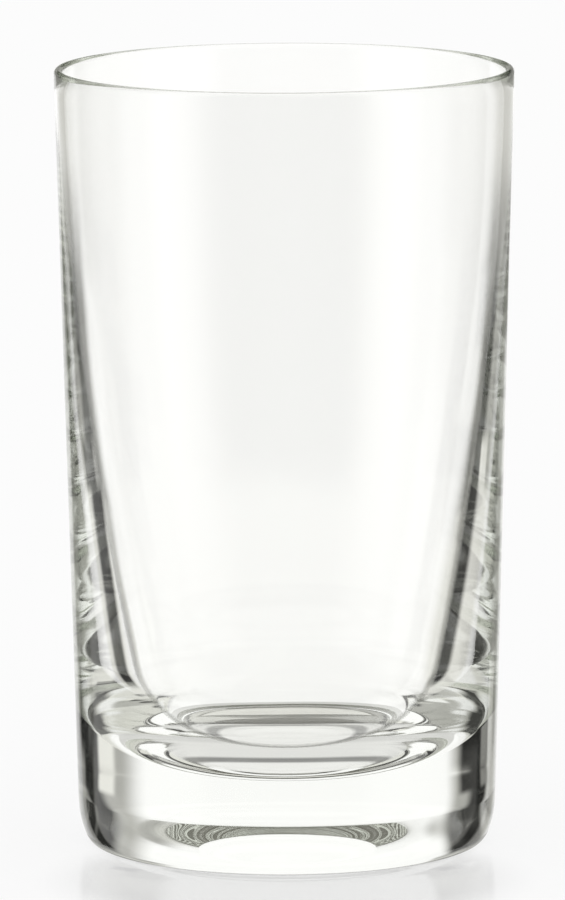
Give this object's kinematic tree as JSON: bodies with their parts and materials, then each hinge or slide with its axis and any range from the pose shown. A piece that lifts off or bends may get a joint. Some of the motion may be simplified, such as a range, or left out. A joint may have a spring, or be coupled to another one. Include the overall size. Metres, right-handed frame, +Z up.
{
  "type": "highball glass",
  "caption": "Clear highball tumbler with a fine round lip, a gently flared wall, a heavy solid base and a rounded foot, for long drinks.",
  "frame": {"origin": "centre of the foot, on the surface that the glass stands on", "axes": "+Z up along the glass's axis of revolution, from the foot to the rim; X and Y are equal"},
  "size_m": [0.075, 0.075, 0.1274],
  "materials": {
    "rim_glass": "clear, fire-polished",
    "wall_glass": "clear, glossy, with faint striae",
    "base_glass": "clear, glossy, solid",
    "foot_glass": "clear, glossy, with light scuffs on the standing ring"
  },
  "bodies": {
    "root": {"rim": "rim_glass", "wall": "wall_glass", "base": "base_glass", "foot": "foot_glass"}
  },
  "joints": []
}
